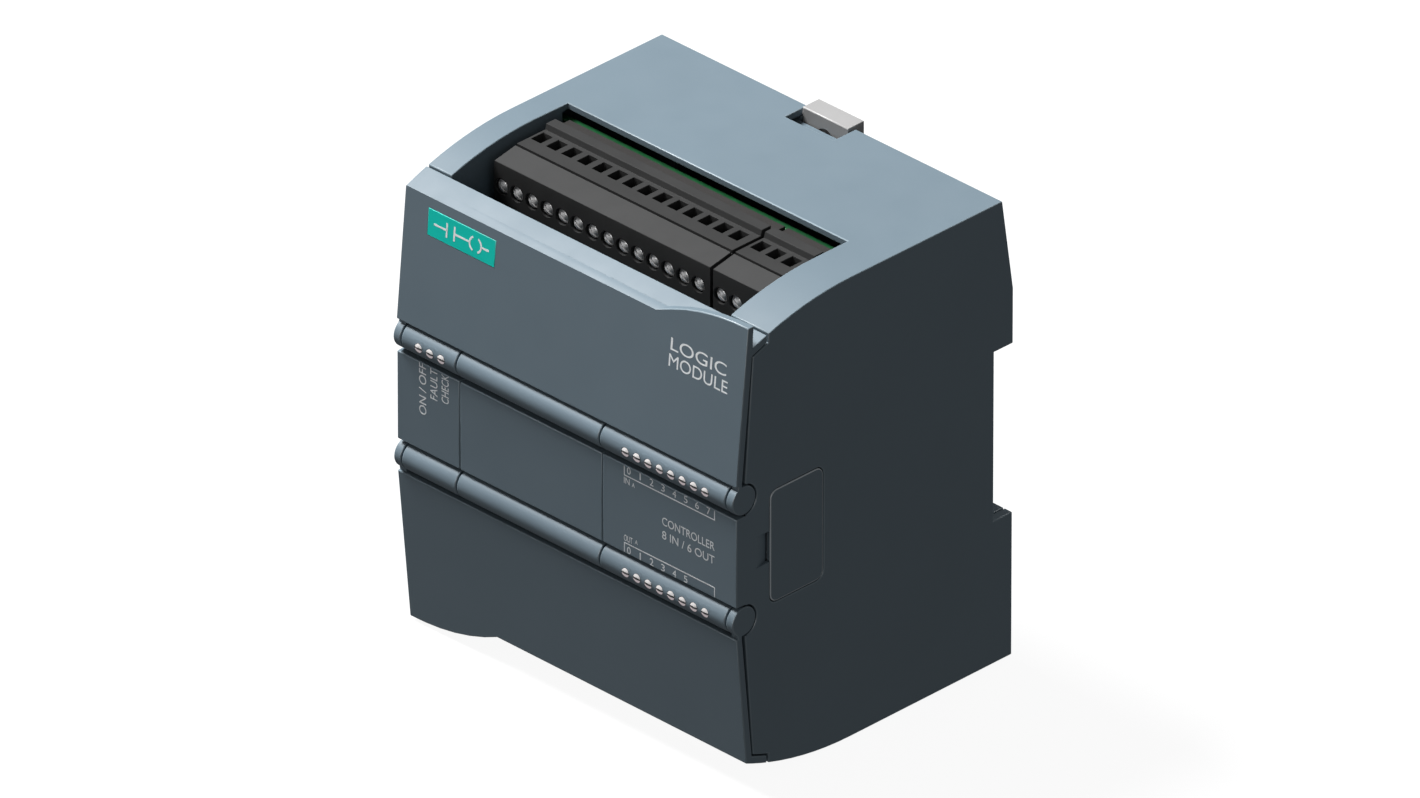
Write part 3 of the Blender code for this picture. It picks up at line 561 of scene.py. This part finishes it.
def add_collar(shape, x, bar_y, z):
    """The housing's thin lip round a lens: it follows the bar, and its round eye holds the lens."""
    rings = []
    for reach, rise in COLLAR_RINGS:
        ring = []
        for step in range(COLLAR_STEPS):
            angle = 2 * math.pi * (step + 0.5) / COLLAR_STEPS
            across, up = math.cos(angle), math.sin(angle)
            inner = Vector((across, up)) * COLLAR_INNER
            outer = Vector((
                math.copysign(abs(across) ** COLLAR_CORNER, across) * COLLAR_HALF_WIDTH,
                math.copysign(abs(up) ** COLLAR_CORNER, up) * COLLAR_HALF_HEIGHT,
            ))
            dx, dz = inner.lerp(outer, reach)
            ring.append(shape.verts.new(Vector((x + dx, bar_y - bar_front(dz) - rise, z + dz)) * MM))
        rings.append(ring)
    inside = [shape.verts.new(vert.co + Vector((0.0, COLLAR_DEPTH * MM, 0.0))) for vert in rings[0]]
    rings.insert(0, inside)
    for low, high in zip(rings, rings[1:]):
        for step in range(COLLAR_STEPS):
            after = (step + 1) % COLLAR_STEPS
            shape.faces.new((low[step], high[step], high[after], low[after]))


def make_light_guide(node):
    """The clear block behind the bar, its round lenses, and the housing's lips round them."""
    low, high = mm_box(node)
    z = (low.z + high.z) / 2
    housing_front = mm_box("main_housing")[0].y
    bar_y = housing_front + BAR_RADIUS
    lenses = bmesh.new()
    block(lenses, (low.x, bar_y + GUIDE_SETBACK, low.z), high)
    round_edges(lenses, lenses.edges[:], THIN_EDGE)
    collars = bmesh.new()
    count = round((high.x - low.x - 2 * GUIDE_END) / WINDOW_PITCH) + 1
    for index in range(count):
        x = low.x + GUIDE_END + index * WINDOW_PITCH
        add_lens(lenses, x, bar_y, z)
        add_collar(collars, x, bar_y, z)
    bmesh.ops.recalc_face_normals(collars, faces=collars.faces)
    # Slots 2 and 3: the lower lens halves with their painted glow, and the painted shade of the gaps and
    # skirts
    finishes = (*MATERIALS["light_guide"], EXTRA["lens_low_glow"], EXTRA["lens_gap_shade"])
    guide = add_object(f"{node}_lenses", lenses, finishes, "root")
    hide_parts(node)
    add_object(f"{node}_lips", collars, MATERIALS["housing"][:1], "root")


# Terminals


def screw_shape():
    """A pan-head screw along +Y with the rim of its head at the origin and a slot across its crown."""
    shape = bmesh.new()
    profile = [(0.0, -SCREW_CROWN)]
    for step in range(1, CROWN_STEPS + 1):
        angle = math.pi / 2 * step / CROWN_STEPS
        profile.append((SCREW_RADIUS * math.sin(angle), -SCREW_CROWN * math.cos(angle)))
    profile += [(SCREW_RADIUS, SCREW_RIM), (SCREW_SHANK, SCREW_RIM)]
    profile += [(SCREW_SHANK, SCREW_END), (0.0, SCREW_END)]
    verts = [shape.verts.new(Vector((radius, along, 0.0)) * MM) for radius, along in profile]
    edges = [shape.edges.new(pair) for pair in zip(verts, verts[1:])]
    bmesh.ops.spin(
        shape, geom=verts + edges, cent=(0, 0, 0), axis=BACK, angle=2 * math.pi, steps=SCREW_STEPS,
        use_merge=True,
    )
    bmesh.ops.remove_doubles(shape, verts=shape.verts, dist=WELD * MM)
    bmesh.ops.recalc_face_normals(shape, faces=shape.faces)
    across = Vector((-math.sin(SCREW_TURN), 0.0, math.cos(SCREW_TURN)))
    for side in (-1, 1):
        geom = shape.verts[:] + shape.edges[:] + shape.faces[:]
        wall = across * side * SCREW_SLOT / 2 * MM
        bmesh.ops.bisect_plane(shape, geom=geom, plane_co=wall, plane_no=across)
    floor = [
        face for face in shape.faces
        if abs(face.calc_center_median().dot(across)) < SCREW_SLOT / 2 * MM
        and face.calc_center_median().y < 0.0
        and face.normal.y < -0.05
    ]
    sunk = bmesh.ops.extrude_face_region(shape, geom=floor)["geom"]
    bmesh.ops.delete(shape, geom=floor, context="FACES")
    for item in sunk:
        if isinstance(item, bmesh.types.BMVert):
            item.co.y = (SCREW_SLOT_DEPTH - SCREW_CROWN) * MM
        # The slot's floor and walls take the dark second finish, painted shade
        if isinstance(item, bmesh.types.BMFace):
            item.material_index = 1
    return shape


def make_screws():
    """One screw for each screw node, all sharing one mesh, with the rims of their heads inside the wells."""
    nodes = [node for node in NODES if SLOT_OF[node] == "screw"]
    shared = None
    for node in nodes:
        low, high = mm_box(node)
        if shared is None:
            screw = add_object(f"{node}_slotted", screw_shape(), MATERIALS["screw"], BODY_OF[node])
            shared = screw.data
        else:
            screw = bpy.data.objects.new(f"{node}_slotted", shared)
            bpy.context.scene.collection.objects.link(screw)
        screw.location = Vector(((low.x + high.x) / 2, low.y + SCREW_RIM_BACK, (low.z + high.z) / 2)) * MM
        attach(screw, BODY_OF[node])
        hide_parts(node)


def make_clamps(plug):
    """The metal cages in a plug's wire entries, each with its pressure plate on the screw's side."""
    low, high = mm_box(plug)
    side = math.copysign(1, low.z)
    start, end = low.y + CLAMP_START, low.y + CLAMP_END
    wide, tall = CLAMP_HALF_WIDTH, CLAMP_HALF_HEIGHT
    shape = bmesh.new()
    for screw in NODES:
        if SLOT_OF[screw] != "screw" or screw.split("_")[0] != plug.split("_")[0]:
            continue
        screw_low, screw_high = mm_box(screw)
        x = (screw_low.x + screw_high.x) / 2
        z = (screw_low.z + screw_high.z) / 2 - side * CLAMP_DROP
        for left, bottom, right, top in (
            (-wide, -tall, CLAMP_WALL - wide, tall),
            (wide - CLAMP_WALL, -tall, wide, tall),
            (CLAMP_WALL - wide, -tall, wide - CLAMP_WALL, CLAMP_WALL - tall),
            (CLAMP_WALL - wide, tall - CLAMP_WALL, wide - CLAMP_WALL, tall),
        ):
            block(shape, (x + left, start, z + bottom), (x + right, end, z + top))
        plate = z + side * (tall - CLAMP_WALL - CLAMP_PLATE / 2)
        reach = wide - CLAMP_WALL
        plate_low = (x - reach, start + CLAMP_PLATE_INSET, plate - CLAMP_PLATE / 2)
        block(shape, plate_low, (x + reach, end, plate + CLAMP_PLATE / 2))
    add_object(f"{plug}_clamps", shape, (EXTRA["clamp"],), BODY_OF[plug])


# Print


def place_print(name, shape, centre, right, up, finish, body):
    """Lays a flat shape, drawn in millimetres about the origin, on a face, a print's depth proud of it."""
    out = right.cross(up)
    turn = Matrix((right, up, out)).transposed().to_4x4()
    shape.transform(Matrix.Translation(centre * MM) @ turn @ Matrix.Scale(MM, 4))
    add_object(name, shape, (finish,), body)


def lettering(words, width, height):
    """Thick letters in a box of the given size about the origin, in millimetres."""
    data = bpy.data.curves.new("letters", "FONT")
    data.body = words
    data.extrude = 0.01
    source = bpy.data.objects.new("letters", data)
    bpy.context.scene.collection.objects.link(source)
    bpy.context.view_layer.update()
    mesh = bpy.data.meshes.new_from_object(source.evaluated_get(bpy.context.evaluated_depsgraph_get()))
    bpy.data.objects.remove(source)
    bpy.data.curves.remove(data)
    shape = bmesh.new()
    shape.from_mesh(mesh)
    bpy.data.meshes.remove(mesh)
    low = Vector([min(vert.co[axis] for vert in shape.verts) for axis in range(3)])
    high = Vector([max(vert.co[axis] for vert in shape.verts) for axis in range(3)])
    shape.transform(Matrix.Translation(-(low + high) / 2))
    scale = (width / (high.x - low.x), height / (high.y - low.y), 2 * PRINT_DEPTH / (high.z - low.z))
    shape.transform(Matrix.Diagonal((*scale, 1.0)))
    return shape


def strokes(boxes):
    """Straight strokes, given by their lower left and upper right corners in millimetres."""
    shape = bmesh.new()
    for left, bottom, right, top in boxes:
        low = Vector((left, bottom, -PRINT_DEPTH))
        high = Vector((right, top, PRINT_DEPTH))
        matrix = Matrix.LocRotScale((low + high) / 2, None, high - low)
        bmesh.ops.create_cube(shape, size=1.0, matrix=matrix)
    return shape


def print_panel_words():
    """Names of the three status lights, and the two lines of the module's kind."""
    y = mm_box("main_housing")[0].y + PANEL_STEP
    finish = EXTRA["print"]
    first_x = mm_box("status_light_guide")[0].x + GUIDE_END
    words = (("ON / OFF", 11.0), ("FAULT", 6.6), ("CHECK", 6.2))
    for index, (word, length) in enumerate(words):
        centre = Vector((first_x + index * WINDOW_PITCH + STATUS_SHIFT, y, STATUS_TOP - length / 2))
        letters = lettering(word, length, STATUS_HEIGHT)
        place_print(f"status_word_{index + 1}", letters, centre, UP, -RIGHT, finish, "root")
    for name, word, z in (("kind_line_1", "CONTROLLER", 1.5), ("kind_line_2", "8 IN / 6 OUT", -1.45)):
        letters = lettering(word, KIND_WIDTH, KIND_HEIGHT)
        place_print(name, letters, Vector((KIND_X, y, z)), RIGHT, UP, finish, "root")


def print_channels(name, word, count, side):
    """Numbers of the channels under or over their lights, and the bracket that joins them."""
    y = mm_box("main_housing")[0].y + PANEL_STEP
    low, high = mm_box("input_light_guide")
    first_x, last_x = low.x + GUIDE_END, high.x - GUIDE_END
    finish = EXTRA["print"]
    for index in range(count):
        digit = lettering(str(index), ONE_WIDTH if index == 1 else NUMBER_WIDTH, NUMBER_HEIGHT)
        place = Vector((first_x + index * WINDOW_PITCH, y, side * NUMBER_Z))
        place_print(f"{name}_number_{index}", digit, place, RIGHT, UP, finish, "root")
    left, right = first_x - 1.3, last_x + 1.7
    bottom, top = sorted((side * BRACKET_Z, side * (BRACKET_Z - LINE_WIDTH)))
    tick_low, tick_high = sorted((side * BRACKET_Z, side * BRACKET_END))
    bracket = strokes((
        (left, bottom, right, top),
        (left, tick_low, left + LINE_WIDTH, tick_high),
        (right - LINE_WIDTH, tick_low, right, tick_high),
    ))
    place_print(f"{name}_bracket", bracket, Vector((0.0, y, 0.0)), RIGHT, UP, finish, "root")
    width = LETTER_WIDTH * len(word)
    place = Vector((left + width / 2, y, side * CHANNEL_WORD_Z))
    letters = lettering(word, width, CHANNEL_WORD_HEIGHT)
    place_print(f"{name}_word", letters, place, RIGHT, UP, finish, "root")
    place = Vector((left + width + 1.0, y, side * 6.0))
    place_print(f"{name}_letter", lettering("A", 0.7, 0.9), place, RIGHT, UP, finish, "root")


def door_front(z):
    """A point's Y on the leaning front of the upper door, at a height."""
    panel_y = mm_box("main_housing")[0].y + PANEL_STEP
    return panel_y + (z - DOOR_FOOT) * DOOR_LEAN


def print_door_words():
    up = Vector((0.0, DOOR_LEAN, 1.0)).normalized()
    for name, word, z, left, width in (
        ("door_line_1", "LOGIC", 38.9, 25.6, 14.6), ("door_line_2", "MODULE", 35.5, 25.4, 15.4),
    ):
        place = Vector((left + width / 2, door_front(z), z))
        letters = lettering(word, width, DOOR_WORD_HEIGHT)
        place_print(name, letters, place, RIGHT, up, EXTRA["bright_print"], "upper_door")


def print_plate_symbol():
    """A contact and a coil on one rung of a ladder diagram, on the name plate."""
    low, high = mm_box("label_plate")
    up = Vector((0.0, DOOR_LEAN, 1.0)).normalized()
    half = SYMBOL_LINE / 2
    symbol = strokes((
        (-7.3, -half, -3.9, half), (-1.7, -half, 2.1, half), (5.3, -half, 7.3, half),
        (-4.1, -1.5, -4.1 + SYMBOL_LINE, 1.5), (-2.1, -1.5, -2.1 + SYMBOL_LINE, 1.5),
    ))
    for side in (-1, 1):
        for step in range(COIL_STEPS):
            turns = [-COIL_HALF_ANGLE + 2 * COIL_HALF_ANGLE * (step + end) / COIL_STEPS for end in (0, 1)]
            angles = [math.radians(turn) for turn in turns]
            inner, outer = COIL_RADIUS - half, COIL_RADIUS + half
            corners = ((angles[0], inner), (angles[1], inner), (angles[1], outer), (angles[0], outer))
            points = [
                Vector((COIL_X + side * math.cos(angle) * radius, math.sin(angle) * radius, 0.0))
                for angle, radius in corners
            ]
            lower = [symbol.verts.new(point + Vector((0.0, 0.0, -PRINT_DEPTH))) for point in points]
            upper = [symbol.verts.new(point + Vector((0.0, 0.0, PRINT_DEPTH))) for point in points]
            symbol.faces.new(upper)
            symbol.faces.new(lower)
            for index in range(4):
                after = (index + 1) % 4
                symbol.faces.new((lower[index], lower[after], upper[after], upper[index]))
    bmesh.ops.recalc_face_normals(symbol, faces=symbol.faces)
    middle_z = (low.z + high.z) / 2
    centre = Vector(((low.x + high.x) / 2, low.y + (middle_z - low.z) * DOOR_LEAN, middle_z))
    place_print("plate_symbol", symbol, centre, RIGHT, up, EXTRA["white_print"], "upper_door")


MATERIALS = make_materials()
EXTRA = make_extra_materials()
make_camera()
make_world()
make_floor()
make_light("key", (-0.55, -0.15, 0.82), 2.0, 0.8, 91.0, (0.99, 0.995, 1.0))
glint = make_light("screw_glint", (0.3, -0.9, 0.32), 2.0, 1.6, 36.0)
glint.visible_diffuse = False
make_light("back_fill", (-0.2, 0.95, 0.1), 2.0, 1.2, 12.0)

for node in NODES:
    slot = SLOT_OF[node]
    if slot in ("housing", "clip", "jack_shield"):
        moulded(node, HOUSING_EDGE)
    elif slot == "plug":
        moulded(node, THIN_EDGE)
    elif slot not in ("screw", "light_guide", "name_plate"):
        dress_node(node, BLOCK_EDGE)
for node in [node for node in NODES if SLOT_OF[node] == "light_guide"]:
    make_light_guide(node)
make_plate()
make_screws()
for node in [node for node in NODES if SLOT_OF[node] == "plug"]:
    make_clamps(node)
print_panel_words()
print_channels("input", "IN", 8, 1)
print_channels("output", "OUT", 6, -1)
print_door_words()
print_plate_symbol()
bpy.context.scene.view_settings.view_transform = "Standard"
